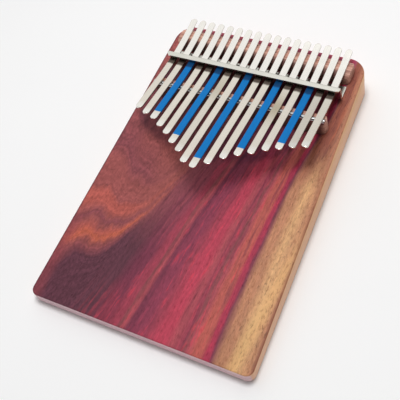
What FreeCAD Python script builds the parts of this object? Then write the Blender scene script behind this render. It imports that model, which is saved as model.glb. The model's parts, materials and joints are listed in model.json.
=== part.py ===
import FreeCAD, Part
import math
import os

# A board mbira: seventeen spring-steel tines held by a slotted steel bracket between two wooden bridges,
# on a solid wooden board that is thicker at the bridge end.
#
# The origin is the centre of the board's flat bottom face. +X is the player's right, +Y runs to the
# bridge end, and +Z is up. The board's top face, the deck, slopes, and all the playing hardware is laid
# out on it: deck coordinates have their origin at the deck's centre, y up the slope and z square to it.
# All sizes are in millimetres.

# Board: its width is at mid-length, and the taper is a share of that width: each end is that much wider,
# at the foot, or narrower, at the bridge end
BOARD_WIDTH = 133.35
BOARD_TAPER = 0.03
BOARD_LENGTH = 203.2
FOOT_THICKNESS = 8.3
HEAD_THICKNESS = 19.9
FRONT_CORNER_RADIUS = 4.6
BACK_CORNER_RADIUS = 12.0
BOARD_EDGE_ROUND = 0.8

# Tines
TINE_COUNT = 17
TINE_PITCH = 6.64
TINE_WIDTH = 4.4
TINE_THICKNESS = 1.0
TIP_CORNER_RADIUS = 2.0
TAIL_CORNER_RADIUS = 2.1
TAIL_Y = 101.7
# Speaking length of each tine, from the rod to its tip along the steel, from left to right
SPEAKING_LENGTHS = (
    26.0, 29.3, 31.7, 36.1, 40.5, 46.0, 50.6, 57.1, 59.0,
    53.6, 47.2, 42.5, 38.6, 33.8, 30.3, 26.7, 24.0,
)
# Strung over the two bridges and through the bracket's slots, each shank bends to one large circle, and
# the tongue in front of it rises straight to the tip
SHANK_BEND_RADIUS = 181.0
TONGUE_RISE_DEG = 12.6
FLEX_AHEAD_OF_ROD = 2.0
FLEX_GAP = 0.2
REST_GAP = 0.05

# Rod on the front bridge
ROD_RADIUS = 1.6
ROD_LENGTH = 112.8
ROD_Y = 46.3

# Front bridge
FRONT_BRIDGE_LENGTH = 114.0
FRONT_BRIDGE_FRONT_Y = 43.6
FRONT_BRIDGE_BACK_Y = 51.8
FRONT_BRIDGE_HEIGHT = 10.4
FRONT_BRIDGE_END_RADIUS = 4.0

# Rear bridge
REAR_BRIDGE_LENGTH = 117.0
REAR_BRIDGE_FRONT_Y = 81.2
REAR_BRIDGE_CREST_Y = 87.8
REAR_BRIDGE_BACK_Y = 96.2
REAR_BRIDGE_HEIGHT = 7.3
REAR_BRIDGE_END_RADIUS = 4.0

# Bracket: a Z section with a lip forwards above the tines, a slotted web that holds them down, and a
# flange back on the deck
BRACKET_LENGTH = 115.8
BRACKET_THICKNESS = 1.5
LIP_FRONT_Y = 67.3
WEB_BACK_Y = 71.1
FLANGE_BACK_Y = 79.2
BEND_ROUND = 1.4
LIP_CORNER_RADIUS = 3.0
LIP_ABOVE_SLOTS = 1.0
SLOT_SIDE_GAP = 0.15
SLOT_BOTTOM_Z = 7.6

# Screws that hold the flange down
SCREW_TINES = (2, 7, 11, 16)
SCREW_Y = 75.4
SCREW_SHANK_RADIUS = 1.5
SCREW_HOLE_RADIUS = 1.6
SCREW_HEAD_RADIUS = 2.8
SCREW_HEAD_HEIGHT = 1.9
SCREW_DEPTH = 11.0
SCREW_POINT = 2.5
SCREW_DRIVE_WIDTH = 0.8
SCREW_DRIVE_DEPTH = 0.9

# Places that follow from the sizes above, in deck coordinates
DECK_TILT = math.atan2(HEAD_THICKNESS - FOOT_THICKNESS, BOARD_LENGTH)
DECK_MID_Z = (HEAD_THICKNESS + FOOT_THICKNESS) / 2
BEND_CENTRE_Y = REAR_BRIDGE_CREST_Y
BEND_CENTRE_Z = REAR_BRIDGE_HEIGHT + REST_GAP + SHANK_BEND_RADIUS
UPPER_BEND_RADIUS = SHANK_BEND_RADIUS - TINE_THICKNESS
MIDDLE_BEND_RADIUS = SHANK_BEND_RADIUS - TINE_THICKNESS / 2
FLEX_Y = ROD_Y - FLEX_AHEAD_OF_ROD


def on_bend(radius, y):
    """Height of the shanks' circle of this radius at deck position y."""
    return BEND_CENTRE_Z - math.sqrt(radius**2 - (BEND_CENTRE_Y - y) ** 2)


ROD_Z = on_bend(SHANK_BEND_RADIUS + REST_GAP + ROD_RADIUS, ROD_Y)
FLEX_Z = on_bend(MIDDLE_BEND_RADIUS, FLEX_Y)
WEB_FRONT_Y = WEB_BACK_Y - BRACKET_THICKNESS
SLOT_TOP_Z = on_bend(UPPER_BEND_RADIUS, WEB_FRONT_Y) + REST_GAP
LIP_UNDERSIDE_Z = SLOT_TOP_Z + LIP_ABOVE_SLOTS
LIP_TOP_Z = LIP_UNDERSIDE_Z + BRACKET_THICKNESS


def vec(x, y, z):
    return FreeCAD.Vector(x, y, z)


def on_deck(shape):
    """Carries a shape from deck coordinates to the instrument's own frame."""
    tilt = FreeCAD.Rotation(vec(1, 0, 0), math.degrees(DECK_TILT))
    shape.Placement = FreeCAD.Placement(vec(0, 0, DECK_MID_Z), tilt).multiply(shape.Placement)
    return shape


def outline(points):
    """Closed wire through (y, z) corners; a corner given as a pair of points is an arc's middle and end."""
    edges = []
    last = vec(0, *points[0])
    for point in points[1:] + points[:1]:
        if isinstance(point[0], tuple):
            middle, end = (vec(0, *part) for part in point)
            edges.append(Part.Arc(last, middle, end).toShape())
        else:
            end = vec(0, *point)
            edges.append(Part.makeLine(last, end))
        last = end
    return Part.Wire(edges)


def bar(points, length):
    """Solid with the given (y, z) section, centred on X."""
    solid = Part.Face(outline(points)).extrude(vec(length, 0, 0))
    solid.translate(vec(-length / 2, 0, 0))
    return solid


def crown_middle(crest_y, crest_z, y, z):
    """Middle of the arc that is level at the crest and comes down to (y, z)."""
    run, drop = y - crest_y, crest_z - z
    radius = (run**2 + drop**2) / (2 * drop)
    half_turn = math.atan2(run, radius - drop) / 2
    return crest_y + radius * math.sin(half_turn), crest_z - radius * (1 - math.cos(half_turn))


def edges_where(shape, test):
    """Straight edges whose end points both pass the test."""
    return [e for e in shape.Edges if len(e.Vertexes) == 2 and all(test(v.Point) for v in e.Vertexes)]


def is_upright(edge):
    first, last = edge.Vertexes[0], edge.Vertexes[-1]
    return abs(first.X - last.X) < 1e-6 and abs(first.Y - last.Y) < 1e-6


def upright_edges(shape):
    return [e for e in shape.Edges if len(e.Vertexes) == 2 and is_upright(e)]


def tine_x(number):
    return (number - (TINE_COUNT + 1) / 2) * TINE_PITCH


def screw_positions():
    return [(tine_x(number), SCREW_Y) for number in SCREW_TINES]


def screw_body(radius):
    """Pointed shank of a screw, from just under its head down into the board."""
    straight = SCREW_DEPTH - SCREW_POINT
    body = Part.makeCylinder(radius, straight, vec(0, 0, -straight))
    point = Part.makeCone(0, radius, SCREW_POINT, vec(0, 0, -SCREW_DEPTH))
    return body.fuse(point).removeSplitter()


def make_board():
    half = BOARD_LENGTH / 2
    front = BOARD_WIDTH / 2 * (1 + BOARD_TAPER)
    back = BOARD_WIDTH / 2 * (1 - BOARD_TAPER)
    corners = [vec(-front, -half, 0), vec(front, -half, 0), vec(back, half, 0), vec(-back, half, 0)]
    plan = Part.Face(Part.makePolygon(corners + corners[:1]))
    block = plan.extrude(vec(0, 0, HEAD_THICKNESS))
    wedge = bar([(-half, 0), (half, 0), (half, HEAD_THICKNESS), (-half, FOOT_THICKNESS)], 2 * front)
    board = block.common(wedge)
    for side, radius in ((-half, FRONT_CORNER_RADIUS), (half, BACK_CORNER_RADIUS)):
        ends = [e for e in upright_edges(board) if abs(e.Vertexes[0].Y - side) < 1e-6]
        board = board.makeFillet(radius, ends)
    rims = [e for e in board.Edges if not is_upright(e)]
    board = board.makeFillet(BOARD_EDGE_ROUND, rims)
    for x, y in screw_positions():
        hole = screw_body(SCREW_SHANK_RADIUS)
        hole.translate(vec(x, y, 0))
        board = board.cut(on_deck(hole))
    return board


def make_front_bridge():
    front, back, top = FRONT_BRIDGE_FRONT_Y, FRONT_BRIDGE_BACK_Y, FRONT_BRIDGE_HEIGHT
    section = [
        (front, 0),
        (front + 0.5, top - 1.8),
        ((front + 0.8, top - 0.8), (front + 1.6, top - 0.4)),
        (back - 2.4, top),
        ((back - 0.9, top - 0.6), (back - 0.2, top - 2.2)),
        (back, 0),
    ]
    bridge = bar(section, FRONT_BRIDGE_LENGTH)
    plan = Part.makeBox(
        FRONT_BRIDGE_LENGTH, back - front, 2 * top, vec(-FRONT_BRIDGE_LENGTH / 2, front, -top / 2)
    )
    plan = plan.makeFillet(FRONT_BRIDGE_END_RADIUS, upright_edges(plan))
    bridge = bridge.common(plan)
    groove = make_rod_in_deck_frame()
    return on_deck(bridge.cut(groove))


def make_rod_in_deck_frame():
    return Part.makeCylinder(ROD_RADIUS, ROD_LENGTH, vec(-ROD_LENGTH / 2, ROD_Y, ROD_Z), vec(1, 0, 0))


def make_rod():
    return on_deck(make_rod_in_deck_frame())


def make_rear_bridge():
    front, crest, back = REAR_BRIDGE_FRONT_Y, REAR_BRIDGE_CREST_Y, REAR_BRIDGE_BACK_Y
    top = REAR_BRIDGE_HEIGHT
    front_shoulder = (front + 1.0, top - 2.3)
    back_shoulder = (back - 0.4, top - 3.9)
    section = [
        (front, 0),
        front_shoulder,
        (crown_middle(crest, top, *front_shoulder), (crest, top)),
        (crown_middle(crest, top, *back_shoulder), back_shoulder),
        (back, 0),
    ]
    bridge = bar(section, REAR_BRIDGE_LENGTH)
    plan = Part.makeBox(
        REAR_BRIDGE_LENGTH, back - front, 2 * top, vec(-REAR_BRIDGE_LENGTH / 2, front, -top / 2)
    )
    plan = plan.makeFillet(REAR_BRIDGE_END_RADIUS, upright_edges(plan))
    return on_deck(bridge.common(plan))


def make_bracket():
    section = [
        (WEB_FRONT_Y, 0),
        (FLANGE_BACK_Y, 0),
        (FLANGE_BACK_Y, BRACKET_THICKNESS),
        (WEB_BACK_Y, BRACKET_THICKNESS),
        (WEB_BACK_Y, LIP_TOP_Z),
        (LIP_FRONT_Y, LIP_TOP_Z),
        (LIP_FRONT_Y, LIP_UNDERSIDE_Z),
        (WEB_FRONT_Y, LIP_UNDERSIDE_Z),
    ]
    bracket = bar(section, BRACKET_LENGTH)
    outer_bends = edges_where(
        bracket,
        lambda p: (abs(p.y - WEB_FRONT_Y) < 1e-6 and abs(p.z) < 1e-6)
        or (abs(p.y - WEB_BACK_Y) < 1e-6 and abs(p.z - LIP_TOP_Z) < 1e-6),
    )
    bracket = bracket.makeFillet(BEND_ROUND, outer_bends)
    lip_corners = [e for e in upright_edges(bracket) if abs(e.Vertexes[0].Y - LIP_FRONT_Y) < 1e-6]
    bracket = bracket.makeFillet(LIP_CORNER_RADIUS, lip_corners)
    slot_width = TINE_WIDTH + 2 * SLOT_SIDE_GAP
    for number in range(1, TINE_COUNT + 1):
        corner = vec(tine_x(number) - slot_width / 2, WEB_FRONT_Y - 1, SLOT_BOTTOM_Z)
        slot = Part.makeBox(slot_width, BRACKET_THICKNESS + 2, SLOT_TOP_Z - SLOT_BOTTOM_Z, corner)
        bracket = bracket.cut(slot)
    for x, y in screw_positions():
        bracket = bracket.cut(Part.makeCylinder(SCREW_HOLE_RADIUS, 2 * BRACKET_THICKNESS, vec(x, y, 0)))
    return on_deck(bracket)


def make_screws():
    """Round-headed wood screws with a straight drive slot, as one group of separate solids."""
    screws = []
    head_sphere = (SCREW_HEAD_RADIUS**2 + SCREW_HEAD_HEIGHT**2) / (2 * SCREW_HEAD_HEIGHT)
    for x, y in screw_positions():
        ball = Part.makeSphere(head_sphere, vec(0, 0, BRACKET_THICKNESS + SCREW_HEAD_HEIGHT - head_sphere))
        room = Part.makeCylinder(SCREW_HEAD_RADIUS, SCREW_HEAD_HEIGHT + 1, vec(0, 0, BRACKET_THICKNESS))
        neck = Part.makeCylinder(SCREW_SHANK_RADIUS, BRACKET_THICKNESS)
        drive = Part.makeBox(
            2 * SCREW_HEAD_RADIUS + 1, SCREW_DRIVE_WIDTH, SCREW_DRIVE_DEPTH + 1,
            vec(
                -SCREW_HEAD_RADIUS - 0.5,
                -SCREW_DRIVE_WIDTH / 2,
                BRACKET_THICKNESS + SCREW_HEAD_HEIGHT - SCREW_DRIVE_DEPTH,
            ),
        )
        screw = ball.common(room).cut(drive).fuse([neck, screw_body(SCREW_SHANK_RADIUS)])
        screw = screw.removeSplitter()
        screw.translate(vec(x, y, 0))
        screws.append(on_deck(screw))
    return Part.makeCompound(screws)


def rounded_plan(y_low, y_high, low_radius, high_radius):
    """Tall block with the tine's plan outline: TINE_WIDTH wide, with its rounded ends."""
    depth = 60.0
    block = Part.makeBox(TINE_WIDTH, y_high - y_low, depth, vec(-TINE_WIDTH / 2, y_low, -depth / 2))
    for y, radius in ((y_low, low_radius), (y_high, high_radius)):
        if radius:
            ends = [e for e in upright_edges(block) if abs(e.Vertexes[0].Y - y) < 1e-6]
            block = block.makeFillet(radius, ends)
    return block


def make_shank(number):
    """The part of a tine behind the rod, bent over both bridges and through its slot."""
    start = FLEX_Y + FLEX_GAP / 2
    middle = (start + TAIL_Y) / 2
    section = [
        (start, on_bend(SHANK_BEND_RADIUS, start)),
        (
            (middle, on_bend(SHANK_BEND_RADIUS, middle)),
            (TAIL_Y, on_bend(SHANK_BEND_RADIUS, TAIL_Y)),
        ),
        (TAIL_Y, on_bend(UPPER_BEND_RADIUS, TAIL_Y)),
        (
            (middle, on_bend(UPPER_BEND_RADIUS, middle)),
            (start, on_bend(UPPER_BEND_RADIUS, start)),
        ),
    ]
    shank = bar(section, TINE_WIDTH)
    plan = rounded_plan(start - 1, TAIL_Y, 0, TAIL_CORNER_RADIUS)
    plan.translate(vec(0, 0, FLEX_Z))
    shank = shank.common(plan)
    shank.translate(vec(tine_x(number), 0, 0))
    return on_deck(shank)


def make_tongue(number):
    """The springy part of a tine ahead of the rod, straight and rising to its tip."""
    length = SPEAKING_LENGTHS[number - 1] - FLEX_AHEAD_OF_ROD
    tongue = Part.makeBox(
        TINE_WIDTH, length - FLEX_GAP / 2, TINE_THICKNESS, vec(-TINE_WIDTH / 2, -length, -TINE_THICKNESS / 2)
    )
    tongue = tongue.common(rounded_plan(-length, 0, TIP_CORNER_RADIUS, 0))
    rise = FreeCAD.Rotation(vec(1, 0, 0), -TONGUE_RISE_DEG)
    tongue.Placement = FreeCAD.Placement(vec(tine_x(number), FLEX_Y, FLEX_Z), rise).multiply(tongue.Placement)
    return on_deck(tongue)


def save(node, shape):
    if not shape.isValid():
        raise ValueError(node + " is not a valid shape")
    shape.exportStep("parts/" + node + ".step")


def main():
    os.makedirs("parts", exist_ok=True)
    save("board", make_board())
    save("front_bridge", make_front_bridge())
    save("bridge_rod", make_rod())
    save("rear_bridge", make_rear_bridge())
    save("tine_bracket", make_bracket())
    save("bracket_screws", make_screws())
    for number in range(1, TINE_COUNT + 1):
        save(f"tine_{number:02d}_shank", make_shank(number))
        save(f"tine_{number:02d}_tongue", make_tongue(number))


main()
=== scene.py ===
import json
import math

import bpy
from mathutils import Matrix, Vector


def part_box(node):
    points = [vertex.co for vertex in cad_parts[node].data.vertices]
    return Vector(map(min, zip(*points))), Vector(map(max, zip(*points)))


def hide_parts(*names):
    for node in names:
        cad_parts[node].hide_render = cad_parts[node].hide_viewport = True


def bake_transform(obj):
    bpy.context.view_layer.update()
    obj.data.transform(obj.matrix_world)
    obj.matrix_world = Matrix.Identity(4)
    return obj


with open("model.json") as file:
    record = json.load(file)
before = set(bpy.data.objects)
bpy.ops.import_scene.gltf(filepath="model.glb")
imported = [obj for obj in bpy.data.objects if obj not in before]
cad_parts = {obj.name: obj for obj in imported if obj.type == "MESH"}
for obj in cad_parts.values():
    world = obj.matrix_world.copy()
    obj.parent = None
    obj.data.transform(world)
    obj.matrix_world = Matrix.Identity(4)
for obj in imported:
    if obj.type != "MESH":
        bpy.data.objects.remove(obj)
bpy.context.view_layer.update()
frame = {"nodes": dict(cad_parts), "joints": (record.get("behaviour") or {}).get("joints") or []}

# The looks of a seventeen-note board mbira. The board, bridges, rod, bracket and screws are the imported CAD
# nodes with procedural finishes and softened edges. Each tine is one continuous strip of steel that
# replaces its CAD shank and tongue. Lengths are in metres, and materials work in millimetres.

MM = 0.001
TINE_NUMBERS = range(1, 18)
PAINTED_TINES = (3, 6, 9, 12, 15)


# ---------------------------------------------------------------- node graphs

def linear(colour):
    """Scene-linear RGBA of a display colour given as three numbers from 0 to 255."""
    parts = [c / 255 for c in colour]
    return [c / 12.92 if c <= 0.04045 else ((c + 0.055) / 1.055) ** 2.4 for c in parts] + [1.0]


class Value:
    """A number that a node graph works out, with the arithmetic signs."""

    def __init__(self, graph, socket):
        self.graph = graph
        self.socket = socket

    def __add__(self, other):
        return self.graph.math("ADD", self, other)

    def __radd__(self, other):
        return self.graph.math("ADD", other, self)

    def __sub__(self, other):
        return self.graph.math("SUBTRACT", self, other)

    def __rsub__(self, other):
        return self.graph.math("SUBTRACT", other, self)

    def __mul__(self, other):
        return self.graph.math("MULTIPLY", self, other)

    def __rmul__(self, other):
        return self.graph.math("MULTIPLY", other, self)

    def __truediv__(self, other):
        return self.graph.math("DIVIDE", self, other)


class Graph:
    """The node graph of one surface finish, ending in a Principled shader."""

    def __init__(self, name):
        self.material = bpy.data.materials.new(name)
        self.material.use_nodes = True
        self.tree = self.material.node_tree
        self.tree.nodes.clear()
        self.shader = self.tree.nodes.new("ShaderNodeBsdfPrincipled")
        output = self.tree.nodes.new("ShaderNodeOutputMaterial")
        self.tree.links.new(self.shader.outputs["BSDF"], output.inputs["Surface"])

    def put(self, socket, value):
        if isinstance(value, Value):
            value = value.socket
        if isinstance(value, bpy.types.NodeSocket):
            self.tree.links.new(value, socket)
        else:
            socket.default_value = value

    def math(self, operation, *values):
        node = self.tree.nodes.new("ShaderNodeMath")
        node.operation = operation
        for socket, value in zip(node.inputs, values):
            self.put(socket, value)
        return Value(self, node.outputs["Value"])

    def position(self):
        """x, y and z in the part's own frame, in millimetres."""
        coordinates = self.tree.nodes.new("ShaderNodeTexCoord")
        split = self.tree.nodes.new("ShaderNodeSeparateXYZ")
        self.tree.links.new(coordinates.outputs["Object"], split.inputs["Vector"])
        return [Value(self, axis) / MM for axis in split.outputs]

    def normal(self):
        """The surface normal's three parts in the part's own frame."""
        coordinates = self.tree.nodes.new("ShaderNodeTexCoord")
        split = self.tree.nodes.new("ShaderNodeSeparateXYZ")
        self.tree.links.new(coordinates.outputs["Normal"], split.inputs["Vector"])
        return [Value(self, axis) for axis in split.outputs]

    def attribute(self, name):
        node = self.tree.nodes.new("ShaderNodeAttribute")
        node.attribute_name = name
        return Value(self, node.outputs["Fac"])

    def noise(self, x, y, z=0.0, detail=2.0, roughness=0.5):
        """Smooth noise about zero, from roughly -0.5 to 0.5, of three already scaled coordinates."""
        point = self.tree.nodes.new("ShaderNodeCombineXYZ")
        for socket, value in zip(point.inputs, (x, y, z)):
            self.put(socket, value)
        node = self.tree.nodes.new("ShaderNodeTexNoise")
        node.inputs["Scale"].default_value = 1.0
        node.inputs["Detail"].default_value = detail
        node.inputs["Roughness"].default_value = roughness
        self.tree.links.new(point.outputs["Vector"], node.inputs["Vector"])
        return Value(self, node.outputs["Fac"]) - 0.5

    def step(self, value, low, high):
        """Smooth step from 0 at low to 1 at high."""
        node = self.tree.nodes.new("ShaderNodeMapRange")
        node.interpolation_type = "SMOOTHSTEP"
        self.put(node.inputs["Value"], value)
        node.inputs["From Min"].default_value = low
        node.inputs["From Max"].default_value = high
        return Value(self, node.outputs["Result"])

    def band(self, value, low, high, soft):
        """1 between low and high and 0 outside, with soft edges."""
        return self.step(value, low - soft, low + soft) * (1 - self.step(value, high - soft, high + soft))

    def curve(self, value, points):
        """Smooth curve through (value, result) points, level past its ends."""
        firsts = [p[0] for p in points]
        results = [p[1] for p in points]
        low, high = min(firsts), max(firsts)
        base, span = min(results), max(results) - min(results)
        node = self.tree.nodes.new("ShaderNodeFloatCurve")
        line = node.mapping.curves[0]
        while len(line.points) < len(points):
            line.points.new(0.5, 0.5)
        for knot, (first, result) in zip(line.points, points):
            knot.location = ((first - low) / (high - low), (result - base) / span)
        node.mapping.update()
        self.put(node.inputs["Value"], (value - low) / (high - low))
        return Value(self, node.outputs["Value"]) * span + base

    def ramp(self, value, stops):
        """Colour that changes with value through (value, display colour) stops."""
        low, high = stops[0][0], stops[-1][0]
        node = self.tree.nodes.new("ShaderNodeValToRGB")
        elements = node.color_ramp.elements
        while len(elements) < len(stops):
            elements.new(1.0)
        for element, (place, colour) in zip(elements, stops):
            element.position = (place - low) / (high - low)
            element.color = linear(colour)
        self.put(node.inputs["Fac"], (value - low) / (high - low))
        return node.outputs["Color"]

    def mix(self, share, first, second, blend="MIX"):
        node = self.tree.nodes.new("ShaderNodeMix")
        node.data_type = "RGBA"
        node.blend_type = blend
        node.clamp_factor = True
        self.put(node.inputs["Factor"], share)
        inputs = [socket for socket in node.inputs if socket.type == "RGBA"]
        for socket, colour in zip(inputs, (first, second)):
            self.put(socket, linear(colour) if isinstance(colour, tuple) else colour)
        return next(socket for socket in node.outputs if socket.type == "RGBA")

    def shade(self, colour, amount):
        """The colour with its brightness multiplied by 1 + amount."""
        node = self.tree.nodes.new("ShaderNodeVectorMath")
        node.operation = "SCALE"
        self.put(node.inputs[0], linear(colour)[:3] if isinstance(colour, tuple) else colour)
        self.put(node.inputs["Scale"], 1 + amount)
        return node.outputs["Vector"]

    def finish(self, colour, roughness, height=None, depth_mm=0.05, **settings):
        """Joins colour, roughness, a bump height and named shader settings to the shader."""
        self.put(self.shader.inputs["Base Color"], colour)
        self.put(self.shader.inputs["Roughness"], roughness)
        for name, value in settings.items():
            self.put(self.shader.inputs[name.replace("_", " ")], value)
        if height is not None:
            bump = self.tree.nodes.new("ShaderNodeBump")
            bump.inputs["Strength"].default_value = 1.0
            bump.inputs["Distance"].default_value = depth_mm * MM
            self.put(bump.inputs["Height"], height)
            self.tree.links.new(bump.outputs["Normal"], self.shader.inputs["Normal"])
        return self.material


# ---------------------------------------------------------------- board

# Half the board's width at mid-length, how fast each side draws in towards the bridge end, and half the
# thickness at the foot
HALF_WIDTH = 66.7
EDGE_SLOPE = 0.0197
FOOT_MIDDLE = 4.2

# The grain fans out a little towards the player: a streak that crosses the middle of the board at s
# is found at x = s * (1 - FAN * y) + LEAN * y
LEAN = 0.196
FAN = 0.0035

# How far the streaks swing to the right towards the bridge end, by y
SWING = ((-100, 0), (0, 0), (20, 1.5), (40, 4.5), (60, 7.5), (80, 9), (100, 10))

# Where the red heartwood gives way to the sapwood, by s
HEARTWOOD_END = (47.0, 49.0)
SAPWOOD_START = (48.8, 50.6)

# Where the painted shade on the deck under the tines begins, by x
SHADE_LINE = ((-65, 35), (-13, 7), (43, 34))

# Colours of the wood, from the dark heart out to the sapwood
PLUM = (97, 54, 67)
WINE = (122, 54, 74)
BERRY = (142, 60, 82)
ROSE = (160, 64, 82)
CRIMSON = (188, 66, 87)
CHERRY = (172, 52, 78)
DUSKY_ROSE = (174, 78, 88)
RUST = (187, 92, 83)
UMBER = (134, 70, 76)
MAROON = (151, 80, 78)
RUSSET = (175, 88, 79)
ORANGE = (192, 97, 75)
TAN = (184, 127, 96)
HONEY = (215, 166, 118)

# The streaks, by s
STREAKS = (
    (-8, PLUM),
    (-2, WINE),
    (1, WINE),
    (4, ROSE),
    (6, ROSE),
    (7, UMBER),
    (9, DUSKY_ROSE),
    (11, WINE),
    (14, BERRY),
    (17, BERRY),
    (21, ROSE),
    (25, CRIMSON),
    (28, CRIMSON),
    (31, DUSKY_ROSE),
    (35, ROSE),
    (36.5, UMBER),
    (38.5, DUSKY_ROSE),
    (41, RUST),
    (44, RUST),
    (45.5, CHERRY),
    (47, CHERRY),
    (48, WINE),
    (51, TAN),
    (54, TAN),
    (59, HONEY),
    (65, TAN),
)

# The figured left part: arches that follow one curve across the board and close up to the right of it.
# Each is (x, y) of the main orange arch, and (x, spread of the arches beside it).
ARCH = ((-68, -65), (-62, -61), (-55, -55), (-47, -57), (-39, -54), (-31, -44), (-23, -29), (-7, 9))
ARCH_SPREAD = ((-68, 1.55), (-55, 1.25), (-47, 1.0), (-39, 0.9), (-31, 0.62), (-23, 0.42), (-7, 0.34))
ARCHES = (
    (-25, PLUM),
    (-15, PLUM),
    (-9, UMBER),
    (-5, MAROON),
    (-1, ORANGE),
    (3, RUSSET),
    (6, MAROON),
    (9, UMBER),
    (12, MAROON),
    (16, RUSSET),
    (21, RUSSET),
    (25, MAROON),
    (38, MAROON),
    (46, UMBER),
    (75, MAROON),
)

# Colours that vary the figure and the streaks
FIGURE_RIGHT = (156, 84, 80)
FIGURE_LEFT_EDGE = (146, 68, 76)
SOFT_STREAK = (168, 84, 92)
BRIGHT_STREAK = (202, 56, 72)
FRONT_STREAK = (168, 62, 76)
DARK_STREAK = (104, 46, 66)

# Colours that vary the sapwood
SAP_GOLD = (236, 188, 124)
SAP_CURL = (158, 102, 68)
SAP_BROWN = (146, 78, 68)
SAP_ORANGE = (196, 110, 82)
SAP_DARK = (104, 52, 58)

# Colours of single places on the deck, and of the faces around the board
# Painted shade on the deck under the tines
PAINTED_SHADE_UNDER_TINES = (34, 10, 46)
# Painted light on the deck behind the rear bridge
PAINTED_LIGHT_BEHIND_BRIDGE = (188, 84, 112)
PALE_RIM = (208, 150, 118)
RIGHT_RIM = (128, 72, 60)
LEFT_RIM = (98, 44, 58)
# Painted light: the faces around the board are paler than the deck, as lit faces
PAINTED_LIGHT_SIDE = (226, 180, 150)
LONG_SIDE_PAINTED_LIGHT = ((2, (246, 198, 168)), (16, (240, 186, 130)))
FRONT_SIDE_PAINTED_LIGHT = (238, 204, 212)
FRONT_LINE = (150, 110, 120)


class Grain:
    """Places on the board in millimetres, and the waves and zones that the parts of its figure share."""

    def __init__(self, g):
        x, y, z = g.position()
        self.x, self.y, self.z = x, y, z
        self.wander = g.noise(x / 24, y / 60, z / 40, detail=3.0)
        self.flutter = g.noise(x / 6, y / 26, z / 20, detail=2.0)
        self.feather = g.noise(x / 1.5, y / 10, z / 8, detail=3.0)
        self.ripple = g.noise(x / 2.2, y / 9, z / 9, detail=3.0)
        waved = x + self.wander * 3.2 + self.flutter * 1.8 + self.feather * 1.6
        self.s = (waved - y * LEAN) / (1 - y * FAN) - g.curve(y, SWING)
        self.broad = g.noise(self.s / 2.2 + 3.1, y / 60, z / 40, detail=2.0)
        self.fine = g.noise(self.s / 1.1, y / 13, z / 20, detail=3.0)
        self.fibre = g.noise(x / 0.34, y / 3.6, z / 4, detail=2.0)
        self.pores = g.step(g.noise(x / 0.42, y / 3.1, z / 1.5, detail=1.0), 0.13, 0.2)
        self.figured = 1 - g.step(self.s + self.ripple * 3, -17, -9)
        self.sap = g.step(self.s, *SAPWOOD_START)
        self.brown_sap = self.sap * g.step(y + self.wander * 24 + self.feather * 10, 4, 40)


def arched_figure(g, grain):
    """The left part's arches, roughened at two scales so that their edges feather along the grain."""
    x, y, z, ripple = grain.x, grain.y, grain.z, grain.ripple
    drift = g.noise(x / 13 + 7.3, y / 19, z / 19, detail=4.0)
    arch = (y + drift * 11 + ripple * 5.5 - g.curve(x, ARCH)) / g.curve(x, ARCH_SPREAD)
    lines = g.noise(arch / 1.7, x / 26, 3.0, detail=2.0)
    figure = g.shade(g.ramp(arch, ARCHES), lines * 0.9)
    right = g.step(y + ripple * 12, -55, -28) * g.step(x, -40, -24)
    figure = g.mix(right * 0.6, figure, FIGURE_RIGHT)
    # the left edge stays redder than the dark figure beside it
    edge = (1 - g.step(x + ripple * 2, -65, -59)) * (1 - g.step(y, -62, -40))
    return g.mix(edge * 0.6, figure, FIGURE_LEFT_EDGE)


def streaked_wood(g, grain):
    """The fanned streaks, softened where they meet the arches."""
    soft = (1 - g.step(grain.s, -1, 5)) * g.step(grain.y + grain.ripple * 12, -62, -20)
    return g.mix(soft * 0.5, g.ramp(grain.s, STREAKS), SOFT_STREAK)


def add_streak_lines(g, grain, colour):
    """Lines at two widths, breaking up along the grain, that darken, redden or warm the wood."""
    x, y, z, s = grain.x, grain.y, grain.z, grain.s
    heartwood = 1 - g.step(s, *HEARTWOOD_END)
    front_part = 1 - g.step(y, -98, -70)
    brighter = g.step(grain.fine, 0.04, 0.24) * g.step(s + front_part * 12, -4, 8) * heartwood
    colour = g.mix(brighter * 0.5, colour, BRIGHT_STREAK)
    redder = front_part * g.band(s, -14, 2, 3) * g.step(grain.broad, -0.12, 0.12)
    colour = g.mix(redder * 0.5, colour, FRONT_STREAK)
    darker = g.step(grain.broad, 0.05, 0.2) * ((1 - grain.figured) * heartwood)
    colour = g.mix(darker * 0.45, colour, DARK_STREAK)
    colour = g.shade(colour, (grain.fine * 0.75 + grain.fibre * 0.5) * (1 - grain.figured * 0.3))
    mottle = g.noise(x / 1.4, y / 2.2, z / 2, detail=3.0)
    lighter_back = grain.figured * g.step(y, -62, -35) * 0.07
    return g.shade(colour, mottle * (0.45 + grain.figured * 0.4) + lighter_back)


def add_sapwood(g, grain, colour):
    """Sapwood that is golden along its middle, mottled, and red-brown towards the bridge end."""
    x, y, z, sap, brown = grain.x, grain.y, grain.z, grain.sap, grain.brown_sap
    curl = g.noise(x / 1.3 + 5, y / 3.4, z / 4, detail=3.0)
    golden = g.band(x - (y + 50) * 0.13 + grain.flutter * 3, 61.0, 67.0, 2.5) * (1 - g.step(y, -45, 5))
    colour = g.mix(golden * 0.5, colour, SAP_GOLD)
    colour = g.shade(colour, sap * g.step(y, -96, -60) * 0.11 - 0.02 * sap)
    colour = g.mix(g.step(curl, 0.02, 0.2) * sap * 0.5, colour, SAP_CURL)
    colour = g.mix(brown * 0.85, colour, SAP_BROWN)
    colour = g.mix(brown * g.step(grain.broad, 0.0, 0.16) * 0.6, colour, SAP_ORANGE)
    return g.mix(brown * g.step(grain.fine, 0.0, 0.16) * 0.55, colour, SAP_DARK)


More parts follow.
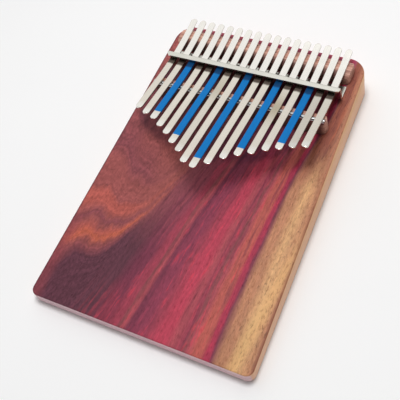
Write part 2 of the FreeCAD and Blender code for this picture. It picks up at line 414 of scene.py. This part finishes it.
def add_bridge_end(g, grain, colour):
    """Painted shade on the deck under the tines, back from a chevron, and a pinker strip of painted light
    behind the bridge.
    """
    x, y = grain.x, grain.y
    # painted shade under the tines, deepest from the rod back to the lip
    under = g.band(x, -62, 46, 2.5) * g.step(y - g.curve(x, SHADE_LINE), 0, 7) * (1 - g.step(y, 64, 70))
    colour = g.mix(under * (0.45 + g.step(y, 40, 50) * 0.15), colour, PAINTED_SHADE_UNDER_TINES)
    # painted light: the deck behind the rear bridge is lighter and pinker
    return g.mix(g.step(y, 91, 96) * (1 - grain.brown_sap) * 0.55, colour, PAINTED_LIGHT_BEHIND_BRIDGE)


def add_rims(g, grain, colour):
    """The deck's long rims: pale, then brown nearer the player, on the right, and dark on the left."""
    x, y = grain.x, grain.y
    right = x + y * EDGE_SLOPE
    pale = g.step(right + grain.feather * 2, HALF_WIDTH - 4.2, HALF_WIDTH - 1.2) * g.step(y, 5, 35)
    colour = g.mix(pale * 0.5, colour, PALE_RIM)
    brown = g.step(right + grain.flutter * 1.4, HALF_WIDTH - 2.4, HALF_WIDTH - 0.4) * (1 - g.step(y, -10, 15))
    colour = g.mix(brown * 0.6, colour, RIGHT_RIM)
    dark = 1 - g.step(x - y * EDGE_SLOPE + grain.feather, 0.3 - HALF_WIDTH, 1.8 - HALF_WIDTH)
    return g.mix(dark * 0.75, colour, LEFT_RIM)


def add_pores(g, grain, colour):
    """Short dark dashes along the grain, closer and darker in the sapwood."""
    flecks = g.step(g.noise(grain.x / 0.9 + 5, grain.y / 3.0, grain.z / 4, detail=2.0), 0.12, 0.2)
    return g.shade(colour, grain.pores * (-0.24) - grain.sap * flecks * 0.34)


def add_sides(g, grain, colour):
    """The faces around the board: paler than the deck as painted light, the front one with a darker line
    along its middle.
    """
    normal_x, normal_y, normal_z = g.normal()
    side = 1 - g.step(normal_z, 0.35, 0.75)
    long_side = side * g.step(normal_x, 0.3, 0.7)
    front = side * g.step(normal_y * (-1), 0.5, 0.8)
    # painted light on the faces around the board
    colour = g.mix(side * 0.4, colour, PAINTED_LIGHT_SIDE)
    colour = g.mix(long_side * 0.86, colour, g.ramp(grain.z + grain.wander * 6, LONG_SIDE_PAINTED_LIGHT))
    colour = g.mix(front * 0.85, colour, FRONT_SIDE_PAINTED_LIGHT)
    line = g.band(grain.z, FOOT_MIDDLE - 0.35, FOOT_MIDDLE + 0.35, 0.3) * front
    return g.mix(line * 0.35, colour, FRONT_LINE)


def board_wood():
    """Oiled red hardwood: arched figure on the left, fanned crimson streaks, and a pale sapwood edge."""
    g = Graph("board_wood")
    grain = Grain(g)
    colour = g.mix(grain.figured, streaked_wood(g, grain), arched_figure(g, grain))
    for add in (add_streak_lines, add_sapwood, add_bridge_end, add_rims, add_pores, add_sides):
        colour = add(g, grain, colour)
    roughness = 0.42 + grain.pores * 0.2 + grain.fine * 0.2
    height = grain.pores * (-1.0) + grain.fibre * 0.6 + grain.fine * 0.3
    return g.finish(colour, roughness, height, 0.04, Specular_IOR_Level=0.12)


# ---------------------------------------------------------------- bridges

BRIDGE_GRAIN = ((-0.28, (138, 90, 78)), (0.0, (198, 144, 126)), (0.28, (236, 194, 174)))
# Painted shade on the bridges' front faces
PAINTED_SHADE_BRIDGE_FRONT = (88, 50, 46)
# From the first tine to the last, where the painted shade on the bridges' front faces is darkest
UNDER_ALL_TINES = (-56, 55)


def bridge_wood():
    """Sanded light brown hardwood with its grain along the bridge."""
    g = Graph("bridge_wood")
    x, y, z = g.position()
    wander = g.noise(x / 30, y / 6, z / 6, detail=2.0)
    grain = g.noise(x / 14, (y + wander * 5) / 1.3, z / 1.3, detail=3.0)
    colour = g.ramp(grain, BRIDGE_GRAIN)
    pores = g.step(g.noise(x / 3.0, y / 0.35, z / 0.35, detail=1.0), 0.14, 0.22)
    colour = g.shade(colour, pores * (-0.25))
    # painted shade: the front faces are darker, and most of all under the tines
    facing_front = g.normal()[1] * (-1)
    colour = g.mix(g.step(facing_front, 0.45, 0.8) * 0.45, colour, PAINTED_SHADE_BRIDGE_FRONT)
    shade_under_tines = g.step(facing_front, 0.1, 0.5) * g.band(x, *UNDER_ALL_TINES, 1.5)
    colour = g.mix(shade_under_tines * 0.85, colour, PAINTED_SHADE_BRIDGE_FRONT)
    return g.finish(colour, 0.5 + pores * 0.2, grain * 0.8 - pores, 0.04, Specular_IOR_Level=0.3)


# ---------------------------------------------------------------- metals

ROD_COLOUR = (188, 188, 188)
BRACKET_COLOUR = (215, 213, 204)
SCREW_COLOUR = (206, 203, 196)
# Painted light and shade: bare steel lighter behind the lip and darker ahead of it
LIT_STEEL_BEHIND_LIP = (236, 233, 226)
SHADED_STEEL_AHEAD_OF_LIP = (221, 214, 202)
BRIGHT_TIP = (236, 235, 230)
DULL_PATCH = (176, 166, 142)
BLUE_PAINT = (0, 114, 186)
# Painted shadow and reflection of the lip, on bare and on blue tines
LIP_SHADE_STEEL = (66, 51, 43)
LIP_SHADE_PAINT = (0, 34, 72)


def steel(name, colour, roughness, along="y", scratch=0.25):
    """Nickel-bright steel with faint lines along its rolling direction and a slow, cloudy tone."""
    g = Graph(name)
    x, y, z = g.position()
    lengthwise, across = (y, x) if along == "y" else (x, y)
    lines = g.noise(lengthwise / 26, across / 0.4, z / 0.8, detail=1.0)
    cloud = g.noise(x / 7, y / 9, z / 7, detail=2.0)
    base = g.shade(colour, cloud * 0.08 + lines * 0.04)
    return g.finish(base, roughness + lines * scratch + cloud * 0.08, lines, 0.003, Metallic=1.0)


def tine_finish(name, painted):
    """Rolled spring steel with painted light and shade: lighter behind the lip, a little darker ahead of it
    and darkest next to it, where the lip's shadow and reflection are painted; or blue paint there.
    """
    g = Graph(name)
    x, y, z = g.position()
    from_tip = g.attribute("from_tip")
    from_lip = g.attribute("from_lip")
    lines = g.noise(x / 0.5, y / 26, z / 26, detail=1.0)
    cloud = g.noise(x / 3.5, y / 7, z / 7, detail=3.0)
    ahead_of_lip = g.step(from_lip, -1.0, 0.0)
    bright_tip = 1 - g.step(from_tip + cloud * 4, 2.0, 7.0)
    # painted light and shade: lighter steel behind the lip, darker ahead of it
    base = g.mix(ahead_of_lip, LIT_STEEL_BEHIND_LIP, SHADED_STEEL_AHEAD_OF_LIP)
    base = g.mix(bright_tip * 0.7, base, BRIGHT_TIP)
    base = g.shade(base, g.attribute("tone") * ahead_of_lip + cloud * 0.1 + lines * 0.03)
    base = g.mix(g.attribute("smudge"), base, DULL_PATCH)
    roughness = 0.21 + lines * 0.05 + cloud * 0.06
    metal = 1.0
    if painted:
        ragged = g.noise(x / 0.8, y / 0.8, z / 0.8, detail=2.0)
        paint = g.step(g.attribute("paint_inset") + ragged * 0.5, -0.15, 0.15)
        mottle = g.noise(x / 2.4, y / 5, z / 5, detail=3.0)
        blue = g.shade(BLUE_PAINT, mottle * 0.22 + lines * 0.08)
        base = g.mix(paint, base, blue)
        roughness = roughness + paint * 0.2
        metal = 1 - paint
    # painted shadow and reflection of the lip, in a dark band just ahead of it
    painted_lip_shade = g.band(from_lip + cloud * 1.4, -0.4, 5.7, 0.8)
    depth, dark = (0.8, LIP_SHADE_PAINT) if painted else (0.93, LIP_SHADE_STEEL)
    base = g.mix(painted_lip_shade * depth, base, dark)
    return g.finish(base, roughness, lines, 0.003, Metallic=metal, Specular_IOR_Level=0.12)


# ---------------------------------------------------------------- pieces

WELD_DISTANCE = 0.001 * MM
SHARP_EDGE_DEG = 35
BRIDGE_EDGE_ROUND = 0.35 * MM
ROD_EDGE_ROUND = 0.3 * MM
BRACKET_EDGE_ROUND = 0.22 * MM
SCREW_EDGE_ROUND = 0.12 * MM
# Points this near the farthest one belong to a strip's end face
END_FACE_DEPTH = 0.06 * MM


def soften_edges(node, radius):
    """Welds a CAD node's split faces and rounds its sharp edges, as modifiers on the unchanged mesh."""
    piece = frame["nodes"][node]
    weld = piece.modifiers.new("weld", "WELD")
    weld.merge_threshold = WELD_DISTANCE
    bevel = piece.modifiers.new("soft edges", "BEVEL")
    bevel.width = radius
    bevel.segments = 2
    bevel.limit_method = "ANGLE"
    bevel.angle_limit = math.radians(SHARP_EDGE_DEG)
    normals = piece.modifiers.new("normals", "WEIGHTED_NORMAL")
    normals.keep_sharp = True


def finish_node(node, material):
    piece = frame["nodes"][node]
    piece.data.materials.clear()
    piece.data.materials.append(material)


def farthest(node, pivot):
    """Middle of the end face of a straight or bent strip node, on the side away from the pivot."""
    points = [v.co.copy() for v in frame["nodes"][node].data.vertices]
    reach = max((p - pivot).length for p in points)
    end = [p for p in points if (p - pivot).length > reach - END_FACE_DEPTH]
    return sum(end, Vector()) / len(end)


class TineLine:
    """The middle line of one tine, from its tip along the straight tongue and round the shank's circle."""

    def __init__(self, number):
        joints = {j["name"]: j for j in frame["joints"]}
        self.flex = Vector(joints[f"pluck_{number:02d}"]["pos_m"])
        self.centre = Vector(joints[f"tune_{number:02d}"]["pos_m"])
        tongue, shank = f"tine_{number:02d}_tongue", f"tine_{number:02d}_shank"
        self.tip = farthest(tongue, self.flex)
        self.tip.x = self.flex.x
        tail = farthest(shank, self.flex)
        self.speaking = (self.tip - self.flex).length
        spoke, tail_spoke = self.flex - self.centre, tail - self.centre
        self.radius = spoke.length
        self.start_angle = math.atan2(spoke.z, spoke.y)
        self.turn = math.atan2(tail_spoke.z, tail_spoke.y) - self.start_angle
        self.length = self.speaking + self.turn * self.radius
        low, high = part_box(tongue)
        self.half_width = (high.x - low.x) / 2

    def at(self, distance):
        """Point and upward normal at a distance from the tip along the steel."""
        if distance <= self.speaking:
            along = (self.flex - self.tip).normalized()
            return self.tip + along * distance, Vector((0, -along.z, along.y))
        angle = self.start_angle + (distance - self.speaking) / self.radius
        spoke = Vector((0, math.cos(angle), math.sin(angle)))
        return self.centre + spoke * self.radius, -spoke


TINE_THICKNESS = 1.0 * MM
TINE_EDGE_ROUND = 0.22 * MM
TIP_CORNER = 2.0 * MM
TAIL_CORNER = 2.1 * MM
STATION_GAP = 1.5 * MM
CORNER_STEPS = 10


def stations(length):
    """Distances from the tip at which a tine has a cross-section, close together round its ends."""
    quarter = [1 - math.cos(math.pi / 2 * k / CORNER_STEPS) for k in range(CORNER_STEPS + 1)]
    tip_part = [TIP_CORNER * q for q in quarter]
    tail_part = [length - TAIL_CORNER * q for q in reversed(quarter)]
    count = round((tail_part[0] - tip_part[-1]) / STATION_GAP)
    gap = (tail_part[0] - tip_part[-1]) / count
    return tip_part + [tip_part[-1] + gap * k for k in range(1, count)] + tail_part


def cross_section(half_width, half_thickness, rounding):
    """Loop of (across, up) points of a rounded rectangle, from its lower right corner anticlockwise."""
    loop = []
    for turn, side, up in ((-90, 1, -1), (0, 1, 1), (90, -1, 1), (180, -1, -1)):
        for step in range(4):
            angle = math.radians(turn + 30 * step)
            loop.append((
                side * (half_width - rounding) + rounding * math.cos(angle),
                up * (half_thickness - rounding) + rounding * math.sin(angle),
            ))
    return loop


def rounded_off(distance, radius):
    """How far a corner of this radius cuts in at a distance from the end."""
    if distance >= radius:
        return 0.0
    return radius - math.sqrt(radius**2 - (radius - distance) ** 2)


def make_tine(number, lip_front_y, material):
    """One tine as a single bent strip with rounded ends, standing for its CAD shank and tongue."""
    line = TineLine(number)
    vertices, faces, from_tips, from_lips, insets, smudges = [], [], [], [], [], []
    places = stations(line.length)
    lip_distance = next(d for d in places if line.at(d)[0].y > lip_front_y)
    paint_gap = PAINT_GAPS.get(number, 0.0)
    smudge_middle, smudge_reach, smudge_depth = SMUDGES.get(number, (0.0, 1.0, 0.0))
    for distance in places:
        to_tail = line.length - distance
        half_width = line.half_width - rounded_off(distance, TIP_CORNER) - rounded_off(to_tail, TAIL_CORNER)
        end_round = rounded_off(min(distance, to_tail), TINE_EDGE_ROUND)
        point, up = line.at(distance)
        half_thickness = TINE_THICKNESS / 2 - end_round * 0.9
        for across, height in cross_section(half_width, half_thickness, TINE_EDGE_ROUND):
            vertices.append(point + Vector((across, 0, 0)) + up * height)
            from_tips.append(distance / MM)
            from_lips.append((lip_distance - distance) / MM)
            insets.append(min(distance - paint_gap, lip_distance - distance) / MM)
            off = ((distance - line.speaking) / MM - smudge_middle) / smudge_reach
            smudges.append(smudge_depth * math.exp(-off * off))
    loop_size = len(vertices) // len(places)
    for k in range(len(places) - 1):
        a, b = k * loop_size, (k + 1) * loop_size
        for i in range(loop_size):
            j = (i + 1) % loop_size
            faces.append((a + i, a + j, b + j, b + i))
    faces.append(tuple(reversed(range(loop_size))))
    faces.append(tuple(range(len(vertices) - loop_size, len(vertices))))
    mesh = bpy.data.meshes.new(f"tine_{number:02d}")
    mesh.from_pydata(vertices, [], faces)
    for name, values in (
        ("from_tip", from_tips),
        ("from_lip", from_lips),
        ("paint_inset", insets),
        ("smudge", smudges),
        ("tone", [TONES.get(number, 0.0)] * len(vertices)),
    ):
        mesh.attributes.new(name, "FLOAT", "POINT").data.foreach_set("value", values)
    mesh.shade_smooth()
    mesh.materials.append(material)
    piece = bpy.data.objects.new(f"tine_{number:02d}", mesh)
    bpy.context.scene.collection.objects.link(piece)
    normals = piece.modifiers.new("normals", "WEIGHTED_NORMAL")
    normals.keep_sharp = True
    shank, tongue = f"tine_{number:02d}", f"tine_{number:02d}_tip"
    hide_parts(f"{shank}_shank", f"{shank}_tongue")
    start = line.at(line.speaking + BLEND_BEHIND)[0]
    end = line.at(line.speaking - BLEND_AHEAD)[0]
    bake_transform(piece)
    return piece


# Bare steel left ahead of the paint, and how bright each tine is beside the others
PAINT_GAPS = {3: 6.6 * MM, 6: 7.0 * MM, 9: 7.6 * MM, 12: 6.0 * MM, 15: 5.0 * MM}
TONES = {7: -0.06, 11: -0.02, 13: -0.04, 14: -0.04, 16: -0.2, 17: -0.1}
# Dull patches on two tines: their middle behind the flex point and reach in millimetres, and strength
SMUDGES = {7: (8.0, 12.0, 0.45), 13: (2.0, 11.0, 0.85)}
# Lengths behind and ahead of a tine's flex point at which make_tine finds two points on the tine
BLEND_BEHIND = 1.5 * MM
BLEND_AHEAD = 6.0 * MM


def make_pieces():
    wood, bridge = board_wood(), bridge_wood()
    finish_node("board", wood)
    for node in ("front_bridge", "rear_bridge"):
        finish_node(node, bridge)
        soften_edges(node, BRIDGE_EDGE_ROUND)
    finish_node("bridge_rod", steel("rod_steel", ROD_COLOUR, 0.13, along="x", scratch=0.1))
    finish_node("tine_bracket", steel("bracket_steel", BRACKET_COLOUR, 0.22, along="x", scratch=0.08))
    finish_node("bracket_screws", steel("screw_steel", SCREW_COLOUR, 0.3))
    soften_edges("bridge_rod", ROD_EDGE_ROUND)
    soften_edges("tine_bracket", BRACKET_EDGE_ROUND)
    soften_edges("bracket_screws", SCREW_EDGE_ROUND)
    bare, painted = tine_finish("tine_steel", False), tine_finish("blue_tine", True)
    lip_front_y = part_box("tine_bracket")[0].y
    for number in TINE_NUMBERS:
        make_tine(number, lip_front_y, painted if number in PAINTED_TINES else bare)


# ---------------------------------------------------------------- stage

FLOOR_HALF = 4.0
FLOOR_COLOUR = (253, 253, 253)


def make_floor():
    """Plain pale floor that the board lies on."""
    mesh = bpy.data.meshes.new("floor")
    half = FLOOR_HALF
    corners = [(-half, -half, 0), (half, -half, 0), (half, half, 0), (-half, half, 0)]
    mesh.from_pydata(corners, [], [(0, 1, 2, 3)])
    floor = bpy.data.objects.new("floor", mesh)
    bpy.context.scene.collection.objects.link(floor)
    g = Graph("floor")
    x, y, _ = g.position()
    paper = g.noise(x / 60, y / 60, detail=3.0)
    mesh.materials.append(g.finish(g.shade(FLOOR_COLOUR, paper * 0.01), 0.9, Specular_IOR_Level=0.1))


# Light of the surroundings: everywhere, from low walls, and from a broad patch high behind the board
SURROUND_LIGHT = 0.14
LOW_LIGHT = 0.5
LOW_BOTTOM_Z = 0.05
LOW_TOP_Z = 0.4
PATCH_LIGHT = 0.84
PATCH_DIRECTION = (-0.387, 0.483, 0.785)
PATCH_INNER_DEG = 28
PATCH_OUTER_DEG = 56
KEY_POWER = 4.0
KEY_SIZE = 0.32
KEY_DISTANCE = 0.9
KEY_TILT_DEG = 8


def fade_node(tree, value, from_range, to_range):
    """Smooth change over to_range as the value goes through from_range."""
    fade = tree.nodes.new("ShaderNodeMapRange")
    fade.interpolation_type = "SMOOTHSTEP"
    tree.links.new(value, fade.inputs["Value"])
    fade.inputs["From Min"].default_value, fade.inputs["From Max"].default_value = from_range
    fade.inputs["To Min"].default_value, fade.inputs["To Max"].default_value = to_range
    return fade.outputs["Result"]


def make_world():
    """Dim surroundings with pale low walls and one broad bright patch for the tines to mirror."""
    world = bpy.data.worlds.new("studio")
    world.use_nodes = True
    tree = world.node_tree
    background = tree.nodes["Background"]
    coordinates = tree.nodes.new("ShaderNodeTexCoord")
    split = tree.nodes.new("ShaderNodeSeparateXYZ")
    tree.links.new(coordinates.outputs["Generated"], split.inputs["Vector"])
    along = tree.nodes.new("ShaderNodeVectorMath")
    along.operation = "DOT_PRODUCT"
    tree.links.new(coordinates.outputs["Generated"], along.inputs[0])
    along.inputs[1].default_value = Vector(PATCH_DIRECTION).normalized()
    outer, inner = math.cos(math.radians(PATCH_OUTER_DEG)), math.cos(math.radians(PATCH_INNER_DEG))
    low = fade_node(tree, split.outputs["Z"], (LOW_BOTTOM_Z, LOW_TOP_Z), (LOW_LIGHT, 0.0))
    dim_to_bright = (SURROUND_LIGHT, SURROUND_LIGHT + PATCH_LIGHT)
    patch = fade_node(tree, along.outputs["Value"], (outer, inner), dim_to_bright)
    total = tree.nodes.new("ShaderNodeMath")
    total.operation = "ADD"
    tree.links.new(low, total.inputs[0])
    tree.links.new(patch, total.inputs[1])
    background.inputs["Color"].default_value = (1, 1, 1, 1)
    tree.links.new(total.outputs["Value"], background.inputs["Strength"])
    bpy.context.scene.world = world


def make_lights():
    """One soft key light overhead, a little towards the bridge end."""
    data = bpy.data.lights.new("key", "AREA")
    data.shape = "DISK"
    data.size = KEY_SIZE
    data.energy = KEY_POWER
    light = bpy.data.objects.new("key", data)
    tilt = math.radians(KEY_TILT_DEG)
    light.location = Vector((0, math.sin(tilt), math.cos(tilt))) * KEY_DISTANCE
    light.rotation_euler = (-tilt, 0, 0)
    bpy.context.scene.collection.objects.link(light)


# Camera: it looks at a point on the middle of the board, from the right of the player, turned a little
CAMERA_AZIMUTH = 38.96
CAMERA_ELEVATION = 53.585
CAMERA_DISTANCE = 0.4487
CAMERA_ROLL = -17.97
CAMERA_TARGET = Vector((-6.53, 18.465, 10.0)) * MM
CAMERA_LENS = 66.436
CAMERA_SHIFT = (-0.0325, -0.125)
SENSOR_WIDTH = 36
NEAREST, FARTHEST = 0.01, 20


def make_camera():
    data = bpy.data.cameras.new("camera")
    data.sensor_width = SENSOR_WIDTH
    data.lens = CAMERA_LENS
    data.shift_x, data.shift_y = CAMERA_SHIFT
    data.clip_start, data.clip_end = NEAREST, FARTHEST
    camera = bpy.data.objects.new("camera", data)
    azimuth, elevation = math.radians(CAMERA_AZIMUTH), math.radians(CAMERA_ELEVATION)
    back = Vector((
        math.sin(azimuth) * math.cos(elevation),
        -math.cos(azimuth) * math.cos(elevation),
        math.sin(elevation),
    ))
    facing = (-back).to_track_quat("-Z", "Y").to_matrix().to_4x4()
    roll = Matrix.Rotation(math.radians(CAMERA_ROLL), 4, "Z")
    camera.matrix_world = Matrix.Translation(CAMERA_TARGET + back * CAMERA_DISTANCE) @ facing @ roll
    bpy.context.scene.collection.objects.link(camera)
    bpy.context.scene.camera = camera


make_camera()
make_world()
make_lights()
make_floor()
make_pieces()
bpy.context.scene.view_settings.view_transform = "Standard"
